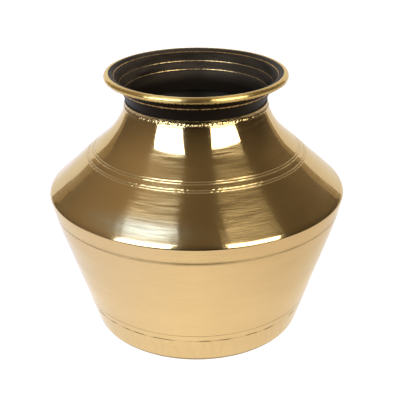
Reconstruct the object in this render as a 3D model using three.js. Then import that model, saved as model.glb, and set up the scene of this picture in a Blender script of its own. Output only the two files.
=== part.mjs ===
/*
 * A kalash: a round-shouldered brass water pot with a short neck and a flared mouth.
 *
 * The pot is made from four turned sheets of brass: a base dish, a tapering wall, a shoulder and a neck with
 * its mouth. Each sheet laps the next one and is brazed to it, and the lip is rolled outwards over a wire.
 *
 * Millimetres, +Z up along the axis of the pot. The origin is on the axis, where the flat base stands.
 * Outlines are drawn in the (r, z) half-plane as Vector2(r, z) and turned about the axis.
 */
import * as THREE from 'three';

// ---- Driving dimensions ---------------------------------------------------------------------------------

const FACETS = 48; // flats around the axis

const SHEET = 0.9; // thickness of every sheet
const GAP = 0.3; // space left between two pieces that touch
const LAP = 7; // how far a sheet reaches behind the one it is brazed to
const JOGGLE = 1.4; // height over which a lapped sheet steps inwards
const BRAZE_LEG = 2.4; // width and height of a fillet of brazing metal

const FOOT_RADIUS = 88.5; // where the line of the wall would meet the ground
const WALL_LEAN = THREE.MathUtils.degToRad(17.35); // of the wall, from upright
const BASE_CORNER = 8.3; // outer radius of the corner between base and wall
const BASE_JOINT_Z = 24.8; // top edge of the base dish
const WALL_STRAIGHT_TOP_Z = 95; // above this the wall curves gently towards upright

const BELLY_RADIUS = 125; // the sharp edge at the widest place
const BELLY_Z = 124;
const BELLY_JOINT_Z = 110; // lower edge of the shoulder's skirt

const SHOULDER_BEND_RADIUS = 76.6; // where the straight slope starts to curve up to the neck
const SHOULDER_BEND_Z = 168.3;
const SHOULDER_TOP_RADIUS = 59.4;
const SHOULDER_TOP_Z = 195.4;

const COLLAR_TOP_Z = 199; // top of the collar of brazing metal that joins neck and shoulder

const NECK_RADIUS = 57.8; // outside of the neck at its narrowest
const NECK_FLARE_Z = 196; // the neck is upright below this height
const FLARE_BORE_RADIUS = 59.2; // inside of the mouth where its slope becomes straight
const FLARE_BORE_Z = 206;
const LIP_BORE_RADIUS = 65.3; // inside of the mouth where the lip starts to turn outwards
const LIP_BORE_Z = 218.1;

const RIM_RADIUS = 72.8; // centre line of the rolled rim
const RIM_Z = 220.1;
const RIM_BEAD_RADIUS = 2.7; // outer radius of the roll
const RIM_ROLL = THREE.MathUtils.degToRad(255); // how far the lip is rolled round the wire
const WIRE_RADIUS = RIM_BEAD_RADIUS - SHEET - GAP;

const BRASS = { color: 0xd9b06a, roughness: 0.24, metalness: 1 };
const BRAZING_METAL = { color: 0xe0bd74, roughness: 0.38, metalness: 1 };
const DARK_LACQUER = { color: 0x1c1714, roughness: 0.42, metalness: 0.2 };

// ---- Outlines -------------------------------------------------------------------------------------------

const point = (r, z) => new THREE.Vector2(r, z);

/** Radius of the outside of the straight wall at a height. */
function wallRadius(z) {
  return FOOT_RADIUS + z * Math.tan(WALL_LEAN);
}

/** Adds an arc that carries on smoothly from the last two points of a line and ends at a given point. */
function addArc(line, end, steps) {
  const [before, start] = line.slice(-2);
  const chord = end.clone().sub(start);
  const heading = start.clone().sub(before).angle();
  let halfTurn = chord.angle() - heading;
  if (halfTurn > Math.PI) halfTurn -= 2 * Math.PI;
  if (halfTurn < -Math.PI) halfTurn += 2 * Math.PI;
  for (let step = 1; step <= steps; step += 1) {
    const turn = (halfTurn * step) / steps;
    const reach = (chord.length() * Math.sin(turn)) / Math.sin(halfTurn);
    line.push(point(Math.cos(heading + turn), Math.sin(heading + turn)).multiplyScalar(reach).add(start));
  }
}

/** The same line moved sideways, to the left of its direction when the distance is positive. */
function shifted(line, distance) {
  const directions = line.slice(1).map((end, i) => end.clone().sub(line[i]).normalize());
  return line.map((place, i) => {
    const before = directions[Math.max(i - 1, 0)];
    const after = directions[Math.min(i, directions.length - 1)];
    const mean = before.clone().add(after).normalize();
    const mitre = distance / mean.dot(after);
    return point(place.x - mean.y * mitre, place.y + mean.x * mitre);
  });
}

/** The part of a line between two heights; the line climbs all the way. */
function between(line, low, high) {
  const cut = (z) => {
    const above = Math.max(line.findIndex((place) => place.y >= z), 1);
    const share = (z - line[above - 1].y) / (line[above].y - line[above - 1].y);
    return line[above - 1].clone().lerp(line[above], share);
  };
  return [cut(low), ...line.filter((place) => place.y > low + GAP && place.y < high - GAP), cut(high)];
}

/** Turns an outline about the axis. It climbs on its outer side, and is closed unless it meets the axis. */
function turned(outline) {
  const closed = outline[0].x > 0 ? [...outline, outline[0].clone()] : outline;
  return new THREE.LatheGeometry(closed, FACETS).rotateX(Math.PI / 2);
}

/** A sheet whose outer face follows a line that climbs. */
function sheetInside(line) {
  return turned([...line, ...shifted(line, SHEET).reverse()]);
}

/** A sheet whose inner face follows a line that climbs. */
function sheetOutside(line) {
  return turned([...shifted(line, -SHEET), ...line.slice().reverse()]);
}

// ---- The outside of the pot from the base corner to the belly -------------------------------------------

const cornerCentreRadius = wallRadius(BASE_CORNER) - BASE_CORNER / Math.cos(WALL_LEAN);
const cornerEnd = point(
  cornerCentreRadius + BASE_CORNER * Math.cos(WALL_LEAN),
  BASE_CORNER - BASE_CORNER * Math.sin(WALL_LEAN),
);

const bodyLine = [cornerEnd, point(wallRadius(WALL_STRAIGHT_TOP_Z), WALL_STRAIGHT_TOP_Z)];
addArc(bodyLine, point(BELLY_RADIUS, BELLY_Z), 5);

// ---- The pieces -----------------------------------------------------------------------------------------

/** Flat base, its rounded corner and an upright rim that the wall stands in. */
function baseDish() {
  const line = [point(0, 0), point(cornerCentreRadius, 0)];
  addArc(line, cornerEnd, 5);
  line.push(point(wallRadius(BASE_JOINT_Z), BASE_JOINT_Z));
  return sheetInside(line);
}

/** Tapering wall, stepped inwards at both ends so that it sits inside the dish and inside the skirt. */
function bodyWall() {
  const behind = shifted(bodyLine, SHEET + GAP);
  return sheetInside([
    ...between(behind, BASE_JOINT_Z - LAP, BASE_JOINT_Z),
    ...between(bodyLine, BASE_JOINT_Z + JOGGLE, BELLY_JOINT_Z - JOGGLE),
    ...between(behind, BELLY_JOINT_Z, BELLY_JOINT_Z + LAP),
  ]);
}

/** Skirt below the belly's edge, straight slope above it and the hollow curve up to the neck. */
function shoulderShell() {
  const line = between(bodyLine, BELLY_JOINT_Z, BELLY_Z);
  line.push(point(SHOULDER_BEND_RADIUS, SHOULDER_BEND_Z));
  addArc(line, point(SHOULDER_TOP_RADIUS, SHOULDER_TOP_Z), 6);
  return sheetInside(line);
}

/** Bore of the neck and mouth, up to where the lip starts to turn outwards. */
function mouthBore() {
  const bore = NECK_RADIUS - SHEET;
  const line = [point(bore, SHOULDER_TOP_Z - LAP), point(bore, NECK_FLARE_Z)];
  addArc(line, point(FLARE_BORE_RADIUS, FLARE_BORE_Z), 3);
  line.push(point(LIP_BORE_RADIUS, LIP_BORE_Z));
  return line;
}

/** Upright neck, flared mouth and the lip rolled outwards and down round the rim wire. */
function neckMouth() {
  const line = mouthBore();
  addArc(line, point(RIM_RADIUS, RIM_Z + RIM_BEAD_RADIUS), 4);
  const steps = 10;
  for (let step = 1; step <= steps; step += 1) {
    const angle = Math.PI / 2 - (RIM_ROLL * step) / steps;
    const outward = point(Math.cos(angle), Math.sin(angle));
    line.push(outward.multiplyScalar(RIM_BEAD_RADIUS).add(point(RIM_RADIUS, RIM_Z)));
  }
  return sheetOutside(line);
}

/** Wire that the lip is rolled over. */
function rimWire() {
  const sides = 8;
  const section = [];
  for (let side = 0; side < sides; side += 1) {
    const angle = (2 * Math.PI * side) / sides;
    section.push(point(RIM_RADIUS + WIRE_RADIUS * Math.cos(angle), RIM_Z + WIRE_RADIUS * Math.sin(angle)));
  }
  return turned(section);
}

/** Fillet of brazing metal inside the base dish, under the lower edge of the wall. */
function baseBraze() {
  const top = BASE_JOINT_Z - LAP - GAP;
  const [bottomCorner, topCorner] = between(shifted(bodyLine, SHEET + GAP), top - BRAZE_LEG, top);
  return turned([bottomCorner, topCorner, point(topCorner.x - BRAZE_LEG, top)]);
}

/** Fillet of brazing metal inside the shoulder's skirt, on the upper edge of the wall. */
function bellyBraze() {
  const bottom = BELLY_JOINT_Z + LAP + GAP;
  const outer = between(shifted(bodyLine, SHEET + GAP), bottom, bottom + BRAZE_LEG);
  return turned([...outer, point(outer[0].x - BRAZE_LEG, bottom)]);
}

/** Collar of brazing metal outside, from the upper edge of the shoulder up against the neck. */
function neckBraze() {
  const bottom = SHOULDER_TOP_Z + GAP;
  const neckSide = between(shifted(mouthBore(), -SHEET - GAP), bottom, COLLAR_TOP_Z);
  return turned([point(SHOULDER_TOP_RADIUS + GAP, bottom), ...neckSide.reverse()]);
}

// ---- The pot --------------------------------------------------------------------------------------------

const pot = new THREE.Group();

function addPiece(name, geometry, look) {
  const piece = new THREE.Mesh(geometry, new THREE.MeshStandardMaterial(look));
  piece.name = name;
  pot.add(piece);
}

addPiece('base_dish', baseDish(), BRASS);
addPiece('body_wall', bodyWall(), BRASS);
addPiece('shoulder_shell', shoulderShell(), BRASS);
addPiece('neck_mouth', neckMouth(), DARK_LACQUER);
addPiece('rim_wire', rimWire(), BRASS);
addPiece('base_braze', baseBraze(), BRAZING_METAL);
addPiece('belly_braze', bellyBraze(), BRAZING_METAL);
addPiece('neck_braze', neckBraze(), BRAZING_METAL);

export default pot;
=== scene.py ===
"""The looks of a brass kalash: turned sheets, a rolled rim and brazed joints, in a small studio.

Metres, +Z up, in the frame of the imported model. Each sheet of the pot is a closed solid of revolution with
its real thickness. An outline is a list of points (r, z) that climbs with the metal's outer face on its
right. Angles around the pot start at +X, and its front faces -Y.
"""
import math

import bpy
import numpy as np
from mathutils import Matrix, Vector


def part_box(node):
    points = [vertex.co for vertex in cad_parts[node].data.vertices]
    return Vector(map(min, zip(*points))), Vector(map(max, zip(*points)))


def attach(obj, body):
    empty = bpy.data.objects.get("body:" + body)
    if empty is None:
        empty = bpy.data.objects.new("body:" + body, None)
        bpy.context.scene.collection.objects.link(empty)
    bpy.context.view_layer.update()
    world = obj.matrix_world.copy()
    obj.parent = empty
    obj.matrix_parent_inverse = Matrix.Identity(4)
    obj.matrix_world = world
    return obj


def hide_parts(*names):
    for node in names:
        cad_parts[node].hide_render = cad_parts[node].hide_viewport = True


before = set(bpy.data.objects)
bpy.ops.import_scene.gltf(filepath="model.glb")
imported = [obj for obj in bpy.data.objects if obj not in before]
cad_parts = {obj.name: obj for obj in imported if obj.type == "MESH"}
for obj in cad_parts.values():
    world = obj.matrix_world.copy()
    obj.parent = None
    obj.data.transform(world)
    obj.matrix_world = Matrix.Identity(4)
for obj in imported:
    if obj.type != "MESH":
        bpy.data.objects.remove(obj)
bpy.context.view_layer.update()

MM = 0.001
TAU = 2 * math.pi
FRONT = 270  # degrees around the pot to its front

# ---- Sizes -----------------------------------------------------------------------------------------------

SHEET = 0.9 * MM
LAP = 7 * MM
LAP_GAP = 0.3 * MM

FOOT_RADIUS = 88.5 * MM  # where the line of the wall would meet the ground
WALL_LEAN = math.radians(17.35)
BASE_CORNER = 8.3 * MM
BASE_JOINT_Z = 24.8 * MM
BASE_LINE_Z = 30.8 * MM
UNDERSIDE_RINGS = (9 * MM, 10.6 * MM, 34 * MM, 60 * MM, 61.8 * MM)  # radii of the lines turned in the base
BRAZE_LEG = 2.4 * MM
WALL_STRAIGHT_TOP_Z = 95 * MM

BELLY_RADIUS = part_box("shoulder_shell")[1].x
BELLY_Z = 124 * MM
BELLY_JOINT_Z = 110 * MM
STEP = 0.35 * MM  # how far below the skirt's edge the wall starts to step in behind it
BELLY_EDGE = 2.0 * MM  # radius of the sharp edge itself
BELLY_CROWN = 12 * MM  # radius of the softer turn just above it
BELLY_CROWN_TURN = math.radians(20)

SHOULDER_BEND = (76.6 * MM, 168.3 * MM)
SHOULDER_TOP = (59.4 * MM, 195.4 * MM)
SHOULDER_LINES_Z = (160.3 * MM, 158.9 * MM, 155.6 * MM, 154.3 * MM)
COLLAR_TOP_Z = 199.2 * MM

NECK_RADIUS = 57.8 * MM
NECK_FLARE_Z = 196 * MM
FLARE_BORE = (59.2 * MM, 206 * MM)
LIP_BORE = (65.3 * MM, 218.1 * MM)
LACQUER_FOOT_Z = 199.3 * MM
LACQUER_TOP_RADIUS = 71.9 * MM
NECK_LINE_Z = 210.0 * MM
BORE_LINES_Z = (206.8 * MM, 213.5 * MM, 220.6 * MM)

wire_low, wire_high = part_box("rim_wire")
neck_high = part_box("neck_mouth")[1]
RIM_Z = (wire_low.z + wire_high.z) / 2
RIM_BEAD = neck_high.z - RIM_Z
RIM_RADIUS = neck_high.x - RIM_BEAD
RIM_ROLL = math.radians(262)
WIRE = RIM_BEAD - SHEET - LAP_GAP

# Facets around the axis; a piece with finer relief has more of them.
PLAIN_FACETS = 256
SHEET_FACETS = 448
LINED_FACETS = 512
FILED_FACETS = 1024
CREASE = math.radians(38)  # a sharper turn than this between two faces shows as an edge

# ---- Outlines --------------------------------------------------------------------------------------------


def wall_radius(z):
    """Radius of the outside of the straight wall at a height."""
    return FOOT_RADIUS + z * math.tan(WALL_LEAN)


def heading(start, end):
    return math.atan2(end[1] - start[1], end[0] - start[0])


def from_point(start, angle, distance):
    return (start[0] + distance * math.cos(angle), start[1] + distance * math.sin(angle))


def add_arc(line, end, steps):
    """Adds an arc that carries on smoothly from the last two points of a line and ends at a given point."""
    start = line[-1]
    angle = heading(line[-2], start)
    half_turn = (heading(start, end) - angle + math.pi) % TAU - math.pi
    for step in range(1, steps + 1):
        turn = half_turn * step / steps
        reach = math.dist(start, end) * math.sin(turn) / math.sin(half_turn)
        line.append(from_point(start, angle + turn, reach))


def between(line, low, high):
    """The part of a climbing line between two heights."""
    points = np.array(line)
    ends = [(np.interp(z, points[:, 1], points[:, 0]), z) for z in (low, high)]
    return [ends[0]] + [p for p in line if low + 0.05 * MM < p[1] < high - 0.05 * MM] + [ends[1]]


def right_normals(points):
    """Unit normals of an open line, to the right of its direction."""
    way = np.diff(points, axis=0)
    way /= np.hypot(way[:, 0], way[:, 1])[:, None]
    way = np.vstack([way[:1], way[:-1] + way[1:], way[-1:]])
    way /= np.hypot(way[:, 0], way[:, 1])[:, None]
    return np.column_stack([way[:, 1], -way[:, 0]])


def shifted(line, distance):
    """The same line moved to the left of its direction, square to it."""
    points = np.array(line)
    way = np.diff(points, axis=0)
    way /= np.hypot(way[:, 0], way[:, 1])[:, None]
    ends = np.vstack([way[:1], way])
    mitre = np.sqrt(np.clip((1 + (ends[:-1] * ends[1:]).sum(1)) / 2, 0.2, 1))
    mitre = np.append(mitre, 1)
    return [tuple(p) for p in points - right_normals(points) * (distance / mitre)[:, None]]


def lengths(line):
    """How far along a line each of its points is."""
    return np.concatenate([[0], np.cumsum(np.hypot(*np.diff(line, axis=0).T))])


def spaced(line, marks=(), coarse=1.5 * MM, fine=0.17 * MM, reach=1.3 * MM):
    """Points along a line: close together near each marked height, further apart elsewhere."""
    line = np.array(line, float)
    length = lengths(line)
    wanted = [length, np.linspace(0, length[-1], max(2, round(length[-1] / coarse)))]
    for height in marks:
        middle = np.interp(height, line[:, 1], length)
        wanted.append(np.arange(middle - reach, middle + reach, fine))
    s = np.unique(np.clip(np.concatenate(wanted), 0, length[-1]))
    s = s[np.concatenate([[True], np.diff(s) > 0.04 * MM])]
    return np.column_stack([np.interp(s, length, line[:, 0]), np.interp(s, length, line[:, 1])])


# ---- Hand work: uneven depths, dents and wobble ----------------------------------------------------------
#
# A shape is a function of an outline's points and of the angles around the pot. It gives how far the
# surface is pushed out at each angle and point.


def bell(values, middle, width):
    """1 at a middle value, falling smoothly to nothing on both sides of it."""
    return np.exp(-(((values - middle) / width) ** 2))


def wander(seed, angles, waves):
    """A smooth uneven value around the pot, about -1 to 1, from waves between two counts per turn."""
    rng = np.random.default_rng(seed)
    counts = np.unique(np.round(np.linspace(waves[0], waves[1], 9)).astype(int))
    total = sum(rng.uniform(0.4, 1) * np.sin(c * angles + rng.uniform(0, TAU)) for c in counts)
    return total / (0.62 * math.sqrt(len(counts)))


def ripples(rng, counts, angles, slant, across):
    """A sum of waves around the pot, each with a random slant of its own across a piece."""
    total = 0
    for count in counts:
        lean = rng.uniform(*slant) * across
        total = total + np.sin(round(count) * angles[:, None] + lean + rng.uniform(0, TAU))
    return total


def line_cut(z, width, depth, seed=0, uneven=0.0, waves=(40, 90)):
    """A turned line: a shallow groove at a height, of a depth that may vary around the pot."""

    def cut(points, angles):
        around = 1 + uneven * wander(seed, angles, waves)
        return -depth * np.clip(around, 0, 1.8)[:, None] * bell(points[:, 1], z, width)[None, :]

    return cut


def raised_band(low, high, height):
    """A flat band that stands slightly proud between two heights, a little crowned."""

    def raise_band(points, angles):
        share = np.clip((points[:, 1] - low) / (high - low), 0, 1)
        across = height * np.sin(math.pi * share) ** 0.6
        return np.ones(len(angles))[:, None] * across[None, :]

    return raise_band


def dents(seed, low, high, depth, around, along):
    """Rows of soft hammer marks between two heights, fading at both."""

    def dent(points, angles):
        rng = np.random.default_rng(seed)
        z = points[:, 1][None, :]
        total = np.zeros((len(angles), len(points)))
        for count in np.linspace(0.6 * around, 1.5 * around, 7):
            slant, phase = rng.uniform(-1, 1), rng.uniform(0, TAU)
            total += np.sin(round(count) * angles[:, None] + slant * z / along * TAU + phase)
        margin = 0.25 * (high - low)
        fade = np.clip((z - low) / margin, 0, 1) * np.clip((high - z) / margin, 0, 1)
        return depth * total / 2.6 * fade

    return dent


def wobble(seed, depth):
    """The slow unevenness of a sheet that was spun and planished by hand."""

    def waver(points, angles):
        rng = np.random.default_rng(seed)
        length = lengths(points)[None, :]
        total = np.zeros((len(angles), len(points)))
        for count in (2, 3, 5, 7, 9, 12, 15):
            wave = rng.uniform(28, 75) * MM
            around = np.sin(count * angles[:, None] + rng.uniform(0, TAU))
            total += around * np.sin(length / wave * TAU + rng.uniform(0, TAU))
        return depth * total / 2.2

    return waver


# ---- Turning an outline into a solid ---------------------------------------------------------------------


def moved(line, shapes, angles, side):
    """A line at every angle around the pot, moved along its normals: side 1 is right, -1 is left."""
    offset = sum((shape(line, angles) for shape in shapes), np.zeros((len(angles), len(line))))
    return line[None, :, :] + offset[:, :, None] * side * right_normals(line)[None, :, :]


def wrapped(section, angles, ends):
    """Points and faces of a section carried around the axis; ends are the heights where it meets the axis."""
    radius, height = section[:, :, 0], section[:, :, 1]
    x, y = radius * np.cos(angles)[:, None], radius * np.sin(angles)[:, None]
    points = np.stack([x, y, height], axis=2).reshape(-1, 3).tolist()
    turns, width = height.shape
    grid = np.arange(turns * width).reshape(turns, width)
    after = np.roll(grid, -1, axis=0)
    if not ends:
        grid, after = (np.hstack([g, g[:, :1]]) for g in (grid, after))
    quads = np.stack([grid[:, :-1], after[:, :-1], after[:, 1:], grid[:, 1:]], axis=2)
    faces = quads.reshape(-1, 4).tolist()
    if ends:
        under, over = len(points), len(points) + 1
        points += [(0, 0, z) for z in ends]
        faces += [(under, int(after[i, 0]), int(grid[i, 0])) for i in range(turns)]
        faces += [(over, int(grid[i, -1]), int(after[i, -1])) for i in range(turns)]
    return points, faces


def turned(name, outer, inner, turns, shapes=(), inner_shapes=(), values=None):
    """A closed solid of revolution between an outer line and an inner one, as a mesh object.

    shapes push the outer face out along its normal, and inner_shapes the inner face. values maps a point
    attribute's name to a function of the outline's points, the angles and whether each point is on the
    inner face. Lines that start on the axis make a solid with no hole through it.
    """
    outer, inner = np.array(outer), np.array(inner)
    angles = np.arange(turns) * TAU / turns
    faces_out = moved(outer, shapes, angles, 1)
    faces_in = moved(inner, inner_shapes, angles, -1)[:, ::-1]
    section = np.concatenate([faces_out, faces_in], axis=1)
    outline = np.vstack([outer, inner[::-1]])
    meets_axis = outline[0, 0] < 0.01 * MM
    rows = slice(1, -1) if meets_axis else slice(None)
    ends = [float(outline[0, 1]), float(outline[-1, 1])] if meets_axis else []
    points, faces = wrapped(section[:, rows], angles, ends)
    mesh = bpy.data.meshes.new(name)
    mesh.from_pydata(points, [], faces)
    mesh.shade_smooth()
    mesh.set_sharp_from_angle(angle=CREASE)

    inside = np.arange(len(outline)) >= len(outer)
    along = np.tile(lengths(outline), (turns, 1))
    fields = {"along": along, "inside": np.tile(inside.astype(float), (turns, 1))}
    for key, field in (values or {}).items():
        fields[key] = field(outline, angles, inside)
    for key, field in fields.items():
        column = field[:, rows].reshape(-1)
        if meets_axis:
            column = np.append(column, [field[0, 0], field[0, -1]])
        mesh.attributes.new(key, "FLOAT", "POINT").data.foreach_set("value", column.astype(np.float32))
    piece = bpy.data.objects.new(name, mesh)
    bpy.context.scene.collection.objects.link(piece)
    return piece


def sheet_piece(name, line, turns, marks, **more):
    """A sheet whose outer face follows a line, with its inner face one thickness to the left."""
    inner = spaced(shifted(line, SHEET), coarse=3 * MM)
    return turned(name, spaced(line, marks), inner, turns, **more)


def near(points, heights, width):
    """How close each point of an outline is to any of some heights, from 0 to 1."""
    gap = np.min([np.abs(points[:, 1] - z) for z in heights], axis=0)
    return np.clip(1.5 - gap / width, 0, 1)


# ---- The pieces ------------------------------------------------------------------------------------------


def lower_corner():
    """Centre radius and upper end of the rounded corner between base and wall."""
    radius = wall_radius(BASE_CORNER) - BASE_CORNER / math.cos(WALL_LEAN)
    return radius, from_point((radius, BASE_CORNER), -WALL_LEAN, BASE_CORNER)


def body_line():
    """The outside of the pot from the base corner up to the sharp edge of the belly."""
    line = [lower_corner()[1], (wall_radius(WALL_STRAIGHT_TOP_Z), WALL_STRAIGHT_TOP_Z)]
    add_arc(line, (BELLY_RADIUS, BELLY_Z), 16)
    return line


def broken_joint(angles):
    """How open the base joint is around the pot: brazing metal fills it to the surface in many places."""
    return np.clip(0.75 + 1.3 * wander(11, angles, (7, 43)), 0, 1.6)


def joint_cut(z, width, depth):
    """The open part of the base joint, in the sheets on both its sides."""

    def cut(points, angles):
        return -depth * broken_joint(angles)[:, None] * bell(points[:, 1], z, width)[None, :]

    return cut


def joint_grime(z, width):
    """Dirt in the open part of the base joint."""

    def grime_and_shade(points, angles, inside):
        across = bell(points[:, 1], z, width) * ~inside
        return np.clip(broken_joint(angles)[:, None] * across[None, :], 0, 1)

    return grime_and_shade


def skirt_dirt_and_shade(angles):
    """How dark the lower edge of the skirt is: dirt in the joint, with painted shade under the edge, most of
    it at the front.
    """
    front = bell(np.degrees(angles), FRONT, 24)
    return 0.22 + 0.45 * front + 0.05 * wander(12, angles, (5, 60))


def base_dish():
    """Flat base, rounded corner and an upright rim that the wall stands in."""
    corner_radius, corner_end = lower_corner()
    line = [(0, 0), (corner_radius, 0)]
    add_arc(line, corner_end, 16)
    line.append((wall_radius(BASE_JOINT_Z), BASE_JOINT_Z))
    hammered = dents(21, 4 * MM, BASE_JOINT_Z + 4 * MM, 0.05 * MM, 80, 15 * MM)

    def hollow(points, angles):
        """The underside is pressed in a little, with lines turned in it."""
        r = points[:, 0]
        flat = points[:, 1] < 0.01 * MM
        depth = 0.5 * MM * np.clip((corner_radius - 3 * MM - r) / (4 * MM), 0, 1)
        rings = 0.12 * MM * sum(bell(r, ring, 0.6 * MM) for ring in UNDERSIDE_RINGS)
        return np.ones(len(angles))[:, None] * (-(depth + rings) * flat)[None, :]

    def grime_and_shade(points, angles, inside):
        """Dirt in the open joint, a light stain in the hollows of the hammer marks, and painted shade round
        the foot.
        """
        hollows = np.clip(-hammered(points, angles) / (0.07 * MM), 0, 1)
        joint = joint_grime(BASE_JOINT_Z, 0.35 * MM)(points, angles, inside)
        # Painted shade: the lowest few mm of the corner are darkened like a contact shadow on the table.
        foot = 0.9 * np.clip((5.2 * MM - points[:, 1]) / (2.6 * MM), 0, 1)
        return np.clip(joint + (0.05 * hollows + foot) * ~inside, 0, 1)

    shapes = (
        hollow,
        hammered,
        joint_cut(BASE_JOINT_Z, 0.35 * MM, 0.22 * MM),
        wobble(22, 0.05 * MM),
    )
    values = {"grime_and_shade": grime_and_shade}
    return sheet_piece("brass_base_dish", line, SHEET_FACETS, [BASE_JOINT_Z], shapes=shapes, values=values)


def body_wall():
    """Tapering wall, set in at both ends so that it sits inside the dish and inside the skirt."""
    body = body_line()
    behind = shifted(body, SHEET + LAP_GAP)
    line = between(behind, BASE_JOINT_Z - LAP, BASE_JOINT_Z + 0.05 * MM)
    line += between(body, BASE_JOINT_Z + 0.2 * MM, BELLY_JOINT_Z - STEP)
    line += between(behind, BELLY_JOINT_Z + 0.3 * MM, BELLY_JOINT_Z + LAP)
    shapes = (
        joint_cut(BASE_JOINT_Z, 0.35 * MM, 0.22 * MM),
        line_cut(BASE_LINE_Z, 0.33 * MM, 0.13 * MM, seed=31, uneven=0.35, waves=(5, 40)),
        dents(32, BASE_JOINT_Z, 52 * MM, 0.012 * MM, 60, 40 * MM),
        wobble(33, 0.06 * MM),
    )

    def grime_and_shade(points, angles, inside):
        """Dirt in the base joint and in the turned line above it, and dirt with painted shade under the
        skirt's edge.
        """
        joint = joint_grime(BASE_JOINT_Z, 0.4 * MM)(points, angles, inside)
        line = 0.6 * bell(points[:, 1], BASE_LINE_Z, 0.3 * MM) * ~inside
        # Painted shade with dirt: the wall just under the skirt's edge is darkened, most at the front.
        below_skirt = bell(points[:, 1], BELLY_JOINT_Z, 1.4 * MM) * ~inside
        return np.clip(joint + line[None, :] + skirt_dirt_and_shade(angles)[:, None] * below_skirt[None, :], 0, 1)

    marks = [BASE_JOINT_Z, BASE_LINE_Z, BELLY_JOINT_Z - 0.6 * MM]
    values = {"grime_and_shade": grime_and_shade}
    return sheet_piece("brass_body_wall", line, SHEET_FACETS, marks, shapes=shapes, values=values)


def belly_corner(line):
    """Rounds the belly: a tight turn at the edge itself, then a softer one into the slope above it."""
    corner = line[-1]
    low, high = heading(line[-2], corner), heading(corner, SHOULDER_BEND)
    crown_start = high - BELLY_CROWN_TURN
    arcs = ((BELLY_EDGE, low, crown_start), (BELLY_CROWN, crown_start, high))
    path = np.array([
        sum(radius * (math.sin(end) - math.sin(start)) for radius, start, end in arcs),
        sum(radius * (math.cos(start) - math.cos(end)) for radius, start, end in arcs),
    ])
    ways = np.array([[math.cos(low), math.cos(high)], [math.sin(low), math.sin(high)]])
    before = np.linalg.solve(ways, path)[0]
    line[-1] = from_point(corner, low + math.pi, before)
    while line[-2][1] > line[-1][1] - 0.2 * MM:
        del line[-2]
    for radius, start, end in arcs:
        first = line[-1]
        for turn in np.linspace(start, end, 9)[1:]:
            line.append((
                first[0] + radius * (math.sin(turn) - math.sin(start)),
                first[1] + radius * (math.cos(start) - math.cos(turn)),
            ))


def shoulder_shell():
    """Skirt below the belly's edge, straight slope above it and the hollow curve up to the neck."""
    line = between(body_line(), BELLY_JOINT_Z, BELLY_Z)
    belly_corner(line)
    line.append(SHOULDER_BEND)
    add_arc(line, SHOULDER_TOP, 18)
    ring1, ring2, ring3, ring4 = SHOULDER_LINES_Z
    shapes = (
        line_cut(ring1, 0.36 * MM, 0.17 * MM, seed=41, uneven=0.2, waves=(9, 60)),
        line_cut(ring2, 0.36 * MM, 0.19 * MM, seed=42, uneven=0.3, waves=(9, 80)),
        raised_band(ring3, ring2, 0.05 * MM),
        line_cut(ring3, 0.36 * MM, 0.19 * MM, seed=43, uneven=0.6, waves=(80, 170)),
        line_cut(ring4, 0.36 * MM, 0.17 * MM, seed=44, uneven=0.6, waves=(80, 170)),
        dents(46, BELLY_Z - 1 * MM, BELLY_Z + 16 * MM, 0.02 * MM, 80, 12 * MM),
        wobble(45, 0.09 * MM),
    )

    def worked(points, angles, inside):
        """Chatter in the turned lines, most of it in the lower pair, and file marks along the top edge."""
        upper = 0.2 * near(points, (ring1, ring2), 0.5 * MM)
        lines = upper + 1.0 * near(points, (ring3, ring4), 0.6 * MM)
        top = np.clip((points[:, 1] - SHOULDER_TOP[1] + 2.2 * MM) / (1.5 * MM), 0, 1)
        return np.tile(np.clip(lines + top, 0, 1) * ~inside, (len(angles), 1))

    def grime_and_shade(points, angles, inside):
        """A little dirt in the turned lines, and dirt with painted shade along the skirt's lower edge."""
        lines = 0.25 * near(points, SHOULDER_LINES_Z, 0.3 * MM)
        # Painted shade with dirt along the skirt's lower edge, most at the front.
        edge = bell(points[:, 1], BELLY_JOINT_Z, 1.1 * MM)
        return np.clip(lines[None, :] + skirt_dirt_and_shade(angles)[:, None] * edge[None, :], 0, 1) * ~inside

    def wear_and_sheen(points, angles, inside):
        """More fine marks lower down on the slope, and most in a rubbed patch at the front left, which is
        also a painted highlight.
        """
        z = points[:, 1][None, :]
        slope = np.clip((SHOULDER_BEND[1] + 10 * MM - z) / (40 * MM), 0, 1) - 0.6
        # The patch lies where the left softbox's haze falls, and the brass shader paints it paler there: a
        # painted highlight.
        rubbed_sheen = bell(np.degrees(angles)[:, None], FRONT - 23, 24) * bell(z, 132 * MM, 7 * MM)
        return (0.25 * slope + 0.45 * rubbed_sheen) * (z > BELLY_Z)

    marks = [BELLY_JOINT_Z + 0.3 * MM, *SHOULDER_LINES_Z, SHOULDER_TOP[1] - 1 * MM]
    values = {"worked": worked, "grime_and_shade": grime_and_shade, "wear_and_sheen": wear_and_sheen}
    return sheet_piece("brass_shoulder", line, LINED_FACETS, marks, shapes=shapes, values=values)


def mouth_line():
    """The bore up to the end of the lacquer, and the lip from there to the top of the rolled rim."""
    bore = NECK_RADIUS - SHEET
    line = [(bore, SHOULDER_TOP[1] - LAP), (bore, NECK_FLARE_Z)]
    add_arc(line, FLARE_BORE, 10)
    line.append(LIP_BORE)
    add_arc(line, (RIM_RADIUS, RIM_Z + RIM_BEAD), 24)
    split = next(i for i, place in enumerate(line) if place[0] > LACQUER_TOP_RADIUS)
    return line[:split], line[split - 1:]


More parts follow.
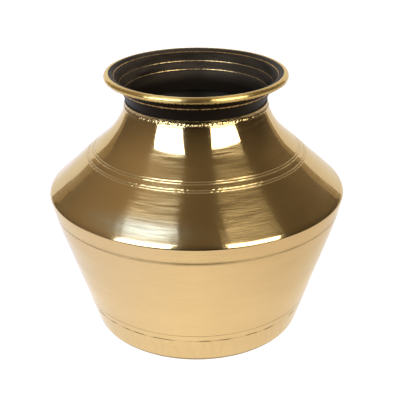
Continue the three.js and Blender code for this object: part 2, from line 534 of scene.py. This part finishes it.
def lacquered_neck():
    """Neck and flared mouth under dark lacquer, with lines turned through it to the brass."""
    bore_line = mouth_line()[0]
    outer_line = shifted(bore_line, -SHEET)
    spacing = {"coarse": 1.0 * MM, "fine": 0.14 * MM, "reach": 0.9 * MM}
    outer = spaced(outer_line, (LACQUER_FOOT_Z, NECK_LINE_Z), **spacing)
    inner = spaced(bore_line, BORE_LINES_Z, **spacing)
    bare_lines = [(NECK_LINE_Z, 0.34 * MM, 52, False)]
    bare_lines += [(z, 0.14 * MM, 53 + i, True) for i, z in enumerate(BORE_LINES_Z)]

    def bare(points, angles, inside):
        """Where the brass shows: below the foot of the lacquer and along the turned lines."""
        z = points[:, 1][None, :]
        foot = LACQUER_FOOT_Z + 0.12 * MM * wander(51, angles, (6, 70))[:, None]
        total = np.clip((foot - z) / (0.12 * MM) + 0.5, 0, 1) * ~inside
        for height, width, seed, on_bore in bare_lines:
            reach = width * (1 + 0.35 * wander(seed, angles, (8, 110)))[:, None]
            total = total + np.clip(1.6 - np.abs(z - height) / reach, 0, 1) * (inside == on_bore)
        return np.clip(total, 0, 1)

    def worked(points, angles, inside):
        """File marks below the foot of the lacquer."""
        collar = np.clip((LACQUER_FOOT_Z - points[:, 1]) / (0.5 * MM), 0, 1) * ~inside
        return np.tile(0.45 * collar, (len(angles), 1))

    shapes = (
        line_cut(NECK_LINE_Z, 0.3 * MM, 0.1 * MM, seed=57, uneven=0.4, waves=(8, 60)),
        wobble(58, 0.04 * MM),
    )
    values = {"bare": bare, "worked": worked}
    return turned("lacquered_neck", outer, inner, LINED_FACETS, shapes, values=values)


def rolled_rim():
    """The lip rolled outwards and down round the wire, with a crimped underside."""
    steps = 46
    angles = [math.pi / 2 - RIM_ROLL * (1 - step / steps) for step in range(steps + 1)]
    roll = [from_point((RIM_RADIUS, RIM_Z), angle, RIM_BEAD) for angle in angles]
    outer = roll + mouth_line()[1][-2::-1]
    inner = shifted(outer, SHEET)

    def crimps(points, turns):
        """Crimps on the underside of the roll, deeper at some places around it than at others."""
        below = np.arctan2(points[:, 1] - RIM_Z, points[:, 0] - RIM_RADIUS)
        inward = np.where(points[:, 1] < RIM_Z, -math.pi, math.pi / 2)
        below = np.where(points[:, 0] < RIM_RADIUS, inward, below)
        low = np.clip((-math.radians(22) - below) / math.radians(30), 0, 1)
        counts = (96, 118, 139, 151, 170, 187, 214)
        total = ripples(np.random.default_rng(61), counts, turns, (-0.7, 0.7), below[None, :])
        total = total / 2.2 * (0.75 + 0.45 * wander(62, turns, (5, 23))[:, None])
        return (0.2 * low * total - 0.12 * low) * MM

    def grime_and_shade(points, turns, inside):
        """Painted shade on the crimped underside of the roll, uneven around it."""
        below = np.degrees(np.arctan2(points[:, 1] - RIM_Z, points[:, 0] - RIM_RADIUS))
        low = np.clip((-12 - below) / 45, 0, 1) * (below < 0) * ~inside
        return np.clip(low[None, :] * (0.75 + 0.4 * wander(64, turns, (30, 160))[:, None]), 0, 0.85)

    shapes = (crimps, dents(63, RIM_Z - RIM_BEAD, RIM_Z + 2 * RIM_BEAD, 0.02 * MM, 60, 90 * MM))
    return turned("rolled_rim", outer, inner, FILED_FACETS, shapes, values={"grime_and_shade": grime_and_shade})


def lip_wire():
    """Wire that the lip is rolled over."""
    sides = 24
    angles = [-math.pi / 2 + TAU * side / sides for side in range(sides)]
    section = [from_point((RIM_RADIUS, RIM_Z), angle, WIRE) for angle in angles]
    half = sides // 2
    return turned("lip_wire", section[:half], section[half:][::-1], PLAIN_FACETS)


def fillet(name, corner, foot, head, seed):
    """A bead of brazing metal in a corner inside the pot; its free face is hollow, from foot to head."""
    pull = tuple(0.6 * c + 0.2 * (f + h) for c, f, h in zip(corner, foot, head))
    face = []
    for share in np.linspace(0, 1, 11):
        weights = ((1 - share) ** 2, 2 * share * (1 - share), share**2)
        face.append(tuple(sum(w * p[k] for w, p in zip(weights, (foot, pull, head))) for k in (0, 1)))

    def lump(points, angles):
        share = np.linspace(0, 1, len(points))[None, :]
        total = ripples(np.random.default_rng(seed), np.linspace(60, 190, 8), angles, (-5, 5), share)
        return 0.1 * MM * (total / 2.8 + 0.3) * np.sin(math.pi * share) ** 0.5

    def worked(points, angles, inside):
        return np.ones((len(angles), len(points)))

    return turned(name, [foot, corner], face, SHEET_FACETS, inner_shapes=(lump,), values={"worked": worked})


def base_joint_braze():
    """Brazing metal inside the base dish, under the lower edge of the wall."""
    top = BASE_JOINT_Z - LAP - LAP_GAP
    wall = between(shifted(body_line(), SHEET + LAP_GAP), top - BRAZE_LEG, top)
    head = (wall[-1][0] - BRAZE_LEG, top)
    return fillet("base_joint_braze", wall[-1], wall[0], head, 71)


def belly_joint_braze():
    """Brazing metal inside the shoulder's skirt, on the upper edge of the wall."""
    bottom = BELLY_JOINT_Z + LAP + LAP_GAP
    skirt = between(shifted(body_line(), SHEET + LAP_GAP), bottom, bottom + BRAZE_LEG)
    foot = (skirt[0][0] - BRAZE_LEG, bottom)
    return fillet("belly_joint_braze", skirt[0], foot, skirt[-1], 72)


def neck_joint_braze():
    """Collar of brazing metal outside, from the shoulder's upper edge up against the neck, filed by hand."""
    bottom = SHOULDER_TOP[1] + 0.1 * MM
    inner = between(shifted(mouth_line()[0], -SHEET - LAP_GAP / 2), bottom, COLLAR_TOP_Z)
    foot_radius = SHOULDER_TOP[0] + 0.35 * MM
    head_radius = inner[-1][0] + 0.8 * MM
    face = []
    for share in np.linspace(0, 1, 25):
        radius = foot_radius + (head_radius - foot_radius) * share - 0.1 * MM * math.sin(math.pi * share)
        face.append((radius, bottom + (COLLAR_TOP_Z - bottom) * share))

    def filed(points, angles):
        """Blobs along the foot, and shallow file marks above them."""
        rng = np.random.default_rng(73)
        share = np.linspace(0, 1, len(points))[None, :]
        blobs = ripples(rng, np.linspace(95, 235, 9), angles, (-4, 4), share)
        strokes = ripples(rng, np.linspace(130, 260, 6), angles, (5, 30), share)
        near_foot = np.clip(1.4 - share / 0.35, 0, 1)
        return (0.18 * near_foot * (blobs / 3 + 0.4) + 0.03 * strokes / 2.4) * MM

    def worked(points, angles, inside):
        return np.tile(1.0 * ~inside, (len(angles), 1))

    return turned("neck_joint_braze", face, inner, FILED_FACETS, (filed,), values={"worked": worked})


# ---- Materials -------------------------------------------------------------------------------------------

BRASS = (0.60, 0.416, 0.194)
# Paler brass shown by the marked part in the rubbed patch: a painted highlight.
BRASS_PALE_SHEEN = (0.62, 0.55, 0.40)
BRASS_RIM = (0.68, 0.465, 0.165)
BRASS_TARNISHED = (0.475, 0.308, 0.132)
BRASS_BRAZE = (0.45, 0.31, 0.14)
BRASS_EDGE_TINT = (0.93, 0.93, 0.86)
# Dark brown for real dirt in joints and lines, and for painted shade under the skirt, round the foot and
# under the rolled rim.
GRIME_AND_SHADE = (0.18, 0.10, 0.022)
DULL_INSIDE = (0.030, 0.024, 0.018)
DULL_INSIDE_PALE = (0.055, 0.042, 0.03)
LACQUER = (0.0070, 0.0047, 0.0032)
# Lighter lacquer painted in clouds inside the upper mouth: a painted reflection.
LACQUER_SHEEN = (0.035, 0.0255, 0.0190)
LACQUER_TINT = (1.0, 0.72, 0.50)


class Nodes:
    """A node tree, and short ways to add nodes to it."""

    def __init__(self, tree):
        self.tree = tree

    def add(self, kind, inputs=(), **settings):
        """A new node with settings; its inputs, by name or place, take a value or another node's output."""
        node = self.tree.nodes.new(kind)
        for key, value in settings.items():
            setattr(node, key, value)
        for key, value in dict(inputs).items():
            self.join(value, node.inputs[key])
        return node

    def join(self, value, socket):
        """Gives an input a value, or another node's output."""
        if isinstance(value, bpy.types.NodeSocket):
            self.tree.links.new(value, socket)
        elif isinstance(value, tuple) and len(value) == 3 and socket.type == "RGBA":
            socket.default_value = (*value, 1)
        else:
            socket.default_value = value

    def maths(self, operation, *values):
        return self.add("ShaderNodeMath", dict(enumerate(values)), operation=operation).outputs[0]

    def ramp(self, value, low, high, to_low=0.0, to_high=1.0, **settings):
        """A value carried from one range to another, and held at its ends."""
        inputs = {0: value, 1: low, 2: high, 3: to_low, 4: to_high}
        return self.add("ShaderNodeMapRange", inputs, **settings).outputs[0]

    def mix(self, share, first, second):
        """A colour between two others."""
        node = self.add("ShaderNodeMix", data_type="RGBA")
        for value, socket in ((share, node.inputs[0]), (first, node.inputs[6]), (second, node.inputs[7])):
            self.join(value, socket)
        return node.outputs[2]

    def blend(self, share, first, second):
        """A number between two others."""
        return self.add("ShaderNodeMix", {0: share, 2: first, 3: second}).outputs[0]

    def place(self):
        """Where on the object a point is, in metres."""
        return self.add("ShaderNodeTexCoord").outputs["Object"]

    def split(self, vector):
        """The three parts of a vector."""
        return self.add("ShaderNodeSeparateXYZ", {0: vector}).outputs


class Finish(Nodes):
    """The nodes of one material. It has one Principled shader, or two that share the surface."""

    def __init__(self, name):
        self.material = bpy.data.materials.new(name)
        self.material.use_nodes = True
        super().__init__(self.material.node_tree)
        self.shaders = [self.tree.nodes["Principled BSDF"]]

    def set(self, **inputs):
        """Sets or joins inputs of every shader; an underscore in a name stands for a space."""
        for key, value in inputs.items():
            for shader in self.shaders:
                self.join(value, shader.inputs[key.replace("_", " ").title().replace("Ior", "IOR")])

    def add_shader(self, share):
        """Adds a second Principled shader, which a share of the surface shows."""
        self.shaders.append(self.add("ShaderNodeBsdfPrincipled"))
        first, second = (shader.outputs[0] for shader in self.shaders)
        both = self.add("ShaderNodeMixShader", {0: share, 1: first, 2: second})
        self.join(both.outputs[0], self.tree.nodes["Material Output"].inputs["Surface"])

    def attribute(self, name):
        return self.add("ShaderNodeAttribute", attribute_name=name).outputs["Fac"]

    def turning(self, around, across):
        """Coordinates for marks a length around the pot and another along its outline, in mm."""
        place = self.split(self.place())
        x, y = (self.maths("MULTIPLY", place[k], 1 / (around * MM)) for k in (0, 1))
        z = self.maths("MULTIPLY", self.attribute("along"), 1 / (across * MM))
        return self.add("ShaderNodeCombineXYZ", {0: x, 1: y, 2: z}).outputs[0]

    def noise(self, vector, detail, roughness=0.5, scale=1.0):
        inputs = {"Vector": vector, "Scale": scale, "Detail": detail, "Roughness": roughness}
        return self.add("ShaderNodeTexNoise", inputs).outputs[0]

    def grain(self, size, detail):
        """Even noise with marks about a size in mm."""
        return self.noise(self.place(), detail, scale=1 / (size * MM))

    def bump(self, height, depth, before=None):
        """A normal for relief of a depth, on top of the relief before it."""
        node = self.add("ShaderNodeBump", {"Height": height, "Distance": depth, "Strength": 1.0})
        if before is not None:
            self.join(before, node.inputs["Normal"])
        return node.outputs[0]

    def use_turned_grain(self, amount):
        """Spreads reflections across the marks of turning and polishing, which run around the pot."""
        tangent = self.add("ShaderNodeTangent", direction_type="RADIAL", axis="Z")
        self.set(anisotropic=amount, anisotropic_rotation=0.25, tangent=tangent.outputs[0])


def brass(name, colour=BRASS, sharp=0.05, haze=0.25, share=0.33, spread=0.95, rough_depth=0.07 * MM):
    """Turned and buffed brass: part of it mirrors sharply, and part has fine marks that run around the pot.

    sharp and haze are the roughness of the two parts, and share is about how much of the surface has marks.
    spread is how far reflections spread across the marks, and rough_depth is the relief of worked places.
    """
    nodes = Finish(name)
    inside, grime_and_shade, worked, wear_and_sheen = (nodes.attribute(key) for key in ("inside", "grime_and_shade", "worked", "wear_and_sheen"))
    streaks = nodes.noise(nodes.turning(30, 0.6), detail=2, roughness=0.6)
    clouds = nodes.noise(nodes.turning(55, 16), detail=2)
    marks = nodes.maths("MULTIPLY_ADD", streaks, 1.4, nodes.maths("MULTIPLY_ADD", clouds, 0.5, -0.95))
    marks = nodes.ramp(marks, -0.3, 0.3, share - 0.4, share + 0.4)
    marks = nodes.maths("ADD", marks, wear_and_sheen)
    nodes.add_shader(nodes.ramp(marks, 0.05, 0.95, 0.05, 0.95))

    patches = nodes.noise(nodes.turning(70, 24), detail=4, roughness=0.6)
    patches = nodes.maths("MULTIPLY_ADD", streaks, 0.25, patches)
    tint = nodes.mix(nodes.ramp(patches, 0.5, 0.9, 0, 0.25), colour, BRASS_TARNISHED)
    # Darkened for dirt, and for painted shade, where the grime attribute is set.
    tint = nodes.mix(grime_and_shade, tint, GRIME_AND_SHADE)
    tint = nodes.mix(inside, tint, nodes.mix(nodes.grain(9, 4), DULL_INSIDE, DULL_INSIDE_PALE))
    dull = nodes.maths("MAXIMUM", inside, grime_and_shade)
    nodes.set(base_color=tint, metallic=nodes.ramp(dull, 0, 1, 1.0, 0.3))
    nodes.set(specular_ior_level=0.15, specular_tint=BRASS_EDGE_TINT)
    # Where the wear attribute is high, the marked part is painted paler: a painted highlight.
    pale_sheen = nodes.mix(nodes.ramp(wear_and_sheen, 0.18, 0.52), tint, BRASS_PALE_SHEEN)
    nodes.join(pale_sheen, nodes.shaders[1].inputs["Base Color"])

    rough_spots = nodes.maths("MULTIPLY", nodes.grain(1.1, 1), worked)
    nodes.set(normal=nodes.bump(rough_spots, rough_depth))
    nodes.use_turned_grain(spread)
    for shader, roughness in zip(nodes.shaders, (sharp, haze)):
        rough = nodes.blend(nodes.maths("MULTIPLY", worked, 0.3), roughness, 0.34)
        nodes.join(nodes.blend(dull, rough, 0.6), shader.inputs["Roughness"])
    return nodes.material


def lacquer(name):
    """Thin satin near-black lacquer over turned brass, cut through along a few lines and below its foot."""
    nodes = Finish(name)
    bare, worked = nodes.attribute("bare"), nodes.attribute("worked")
    turning = nodes.noise(nodes.turning(30, 0.7), detail=3)
    cloud = nodes.ramp(nodes.noise(nodes.turning(40, 8), detail=3), 0.3, 0.65)
    height = nodes.split(nodes.place())[2]
    # Inside the upper mouth the lacquer is painted lighter in clouds: a painted reflection of the bright
    # room.
    mouth = nodes.maths("MULTIPLY", nodes.ramp(height, 0.196, 0.207), nodes.attribute("inside"))
    dark = nodes.mix(nodes.maths("MULTIPLY", cloud, mouth), LACQUER, LACQUER_SHEEN)
    nodes.set(base_color=nodes.mix(bare, dark, BRASS_TARNISHED), metallic=nodes.ramp(bare, 0, 1, 0.0, 1.0))
    satin = nodes.ramp(turning, 0.3, 0.75, 0.40, 0.52)
    nodes.set(roughness=nodes.blend(bare, satin, 0.30))
    nodes.set(specular_ior_level=0.07, specular_tint=LACQUER_TINT)
    relief = nodes.bump(turning, 0.006 * MM)
    rough_spots = nodes.maths("MULTIPLY", nodes.grain(1.1, 1), worked)
    nodes.set(normal=nodes.bump(rough_spots, 0.05 * MM, relief))
    return nodes.material


# ---- The room --------------------------------------------------------------------------------------------

ROOM_FRONT = (0.160, 0.131, 0.090)
ROOM_SIDE = (0.43, 0.352, 0.25)
ROOM_SIDE_WAY = (-0.55, 0.835, 0)  # where the room has its lighter colour: to the left and behind the pot
ROOM_LOW = 0.1  # strength of its light low down, in front and behind
ROOM_LOW_SIDES = 0.38  # and to both sides
ROOM_HIGH = 1.12

TABLE_STRENGTH = 1.31
# Painted pool of light: the table's glow is raised close round the pot.
TABLE_POOL = 1.08  # how much brighter the table is close round the pot
# Painted light: the table's glow is tinted bluer to the left, and dimmer and warmer to the right.
TABLE_LEFT = (0.90, 0.92, 1.08)
TABLE_MIDDLE = (1, 1, 1)
TABLE_RIGHT = (0.80, 0.77, 0.765)
TABLE_Z = -0.05 * MM
SHADE_RADIUS = 86.5 * MM  # the pot stands on the table inside this, where hardly any light reaches it
SHADE_STRENGTH = 0.06 * TABLE_STRENGTH

SCREEN_RADIUS = 1.6
SCREEN_HEIGHT = 1.7
SCREEN_LEFT = (1.12, 1.13, 1.16)
SCREEN_RIGHT = (1.09, 1.06, 1.02)
SCREEN_EDGE = (0.42, 0.34, 0.22)

# A corner of a softbox is an angle in degrees from straight in front of the pot, a distance and a height.
LEFT_CORNERS = ((-18.5, 0.707, 0.99), (-18.5, 0.72, 0.37), (-59.5, 0.95, 0.34), (-62.5, 0.95, 0.92))
RIGHT_CORNERS = ((24.2, 1.0, 1.12), (21.3, 0.98, 0.42), (58.5, 1.2, 0.42), (68.5, 1.25, 0.94))
SOFTBOX_RADIANCE = 8.2
LEFT_COLOUR = (0.92, 1.09, 1.28)
RIGHT_COLOUR = (1.08, 1.12, 1.05)

CAMERA_PLACE = (2.8 * MM, -696 * MM, 422.8 * MM)
CAMERA_DOWN = 24.42  # degrees
CAMERA_ROLL = -0.30
CAMERA_LENS = 79.2


def stage_piece(name, points, faces, material):
    """A piece of the studio, which is no part of the object."""
    mesh = bpy.data.meshes.new(name)
    mesh.from_pydata(points, [], faces)
    mesh.materials.append(material)
    piece = bpy.data.objects.new(name, mesh)
    bpy.context.scene.collection.objects.link(piece)
    return piece


def glowing(name, colour, strength=1.0, albedo=0.0):
    """The nodes of a matt surface that is lit so evenly that it glows."""
    nodes = Finish(name)
    nodes.set(base_color=(albedo, albedo, albedo), roughness=0.9, specular_ior_level=0.0)
    nodes.set(emission_color=colour, emission_strength=strength)
    return nodes


def table_paper():
    """White paper whose glow holds a painted pool of light close round the pot, painted light tinting it to
    both sides, and painted shade where the pot stands.
    """
    nodes = glowing("white_table", TABLE_MIDDLE, TABLE_STRENGTH, albedo=0.05)
    place = nodes.place()
    distance = nodes.add("ShaderNodeVectorMath", {0: place}, operation="LENGTH").outputs["Value"]
    shade = nodes.ramp(distance, SHADE_RADIUS - 3 * MM, SHADE_RADIUS, SHADE_STRENGTH, TABLE_STRENGTH)
    near_pool = nodes.ramp(distance, 0.10, 0.125, 1.0, TABLE_POOL)
    pool = nodes.ramp(distance, 0.115, 0.155, near_pool, 1.0)
    across = nodes.split(place)[0]
    left = nodes.mix(nodes.ramp(across, -0.15, -0.02), TABLE_LEFT, TABLE_MIDDLE)
    both = nodes.mix(nodes.ramp(across, 0.0, 0.15), left, TABLE_RIGHT)
    nodes.set(emission_color=both, emission_strength=nodes.maths("MULTIPLY", shade, pool))
    return nodes.material


def table():
    """A table top under the pot; it ends a little in front of the pot, and runs back to the screens."""
    left, right, front, back = -1.6, 1.6, -0.30, 1.7
    corners = ((left, front), (right, front), (right, back), (left, back))
    stage_piece("table", [(x, y, TABLE_Z) for x, y in corners], [(0, 1, 2, 3)], table_paper())


def screen(name, start, end, colour, columns=24):
    """Part of a paper screen that curves round behind the pot, between two angles from straight behind it."""
    turns = np.radians(np.linspace(start, end, columns + 1))
    around = [(SCREEN_RADIUS * math.sin(turn), SCREEN_RADIUS * math.cos(turn)) for turn in turns]
    points = [(x, y, z) for x, y in around for z in (0, SCREEN_HEIGHT)]
    faces = [(2 * i, 2 * i + 1, 2 * i + 3, 2 * i + 2) for i in range(columns)]
    stage_piece(name, points, faces, glowing(name, colour).material)


def softbox(name, corners, colour):
    """A large even light panel, given by its corners."""
    places = []
    for turn, reach, z in corners:
        turn = math.radians(turn)
        places.append((reach * math.sin(turn), -reach * math.cos(turn), z))
    panel = stage_piece(name, places, [(0, 1, 2, 3)], glowing(name, colour, SOFTBOX_RADIANCE).material)
    panel.visible_camera = False


def room():
    """White to the camera; to the pot a dim brown room, darkest low down in front and lightest overhead."""
    world = bpy.data.worlds.new("room")
    world.use_nodes = True
    bpy.context.scene.world = world
    nodes = Nodes(world.node_tree)
    nodes.tree.nodes.clear()
    way = nodes.add("ShaderNodeTexCoord").outputs["Generated"]
    facing = nodes.add("ShaderNodeVectorMath", {0: way, 1: ROOM_SIDE_WAY}, operation="DOT_PRODUCT")
    side = nodes.ramp(facing.outputs["Value"], -0.35, 0.35, interpolation_type="SMOOTHSTEP")
    across, _, up = nodes.split(way)
    low = nodes.ramp(nodes.maths("ABSOLUTE", across), 0.35, 0.8, ROOM_LOW, ROOM_LOW_SIDES)
    level = nodes.ramp(up, 0.1, 0.87, low, ROOM_HIGH)
    colour = nodes.mix(side, ROOM_FRONT, ROOM_SIDE)
    dim = nodes.add("ShaderNodeBackground", {"Color": colour, "Strength": level})
    white = nodes.add("ShaderNodeBackground", {"Color": (1, 1, 1)})
    to_camera = nodes.add("ShaderNodeLightPath").outputs["Is Camera Ray"]
    both = nodes.add("ShaderNodeMixShader", {0: to_camera, 1: dim.outputs[0], 2: white.outputs[0]})
    nodes.add("ShaderNodeOutputWorld", {0: both.outputs[0]})


def camera():
    data = bpy.data.cameras.new("camera")
    data.sensor_width = 36
    data.lens = CAMERA_LENS
    data.clip_start = 0.01
    data.clip_end = 50
    piece = bpy.data.objects.new("camera", data)
    tilt = Matrix.Rotation(math.radians(90 - CAMERA_DOWN), 4, "X")
    roll = Matrix.Rotation(math.radians(CAMERA_ROLL), 4, "Z")
    piece.matrix_world = Matrix.Translation(CAMERA_PLACE) @ (tilt @ roll)
    bpy.context.scene.collection.objects.link(piece)
    bpy.context.scene.camera = piece


# ---- Everything together ---------------------------------------------------------------------------------

camera()
room()
table()
screen("left_screen", -43, 0, SCREEN_LEFT)
screen("right_screen", 0, 43, SCREEN_RIGHT)
screen("left_screen_edge", -52, -43, SCREEN_EDGE, columns=4)
screen("right_screen_edge", 43, 49, SCREEN_EDGE, columns=4)
softbox("left_softbox", LEFT_CORNERS, LEFT_COLOUR)
softbox("right_softbox", RIGHT_CORNERS, RIGHT_COLOUR)
bpy.context.scene.view_settings.view_transform = "Standard"

sheet_brass = brass("buffed_brass")
rim_brass = brass("rim_brass", BRASS_RIM, sharp=0.09, haze=0.40, share=0.6)
rough_brass = brass("brazed_brass", BRASS_BRAZE, sharp=0.08, haze=0.15, spread=0.3, rough_depth=0.16 * MM)
dark_lacquer = lacquer("dark_lacquer")

for make, node, slot, material in (
    (base_dish, "base_dish", "brass_sheet", sheet_brass),
    (body_wall, "body_wall", "brass_sheet", sheet_brass),
    (shoulder_shell, "shoulder_shell", "brass_sheet", sheet_brass),
    (lacquered_neck, "neck_mouth", "dark_lacquer", dark_lacquer),
    (rolled_rim, "neck_mouth", "brass_sheet", rim_brass),
    (lip_wire, "rim_wire", "brass_wire", rim_brass),
    (base_joint_braze, "base_braze", "brazing_metal", rough_brass),
    (belly_joint_braze, "belly_braze", "brazing_metal", rough_brass),
    (neck_joint_braze, "neck_braze", "brazing_metal", rough_brass),
):
    piece = make()
    piece.data.materials.append(material)
    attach(piece, "root")
    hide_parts(node)
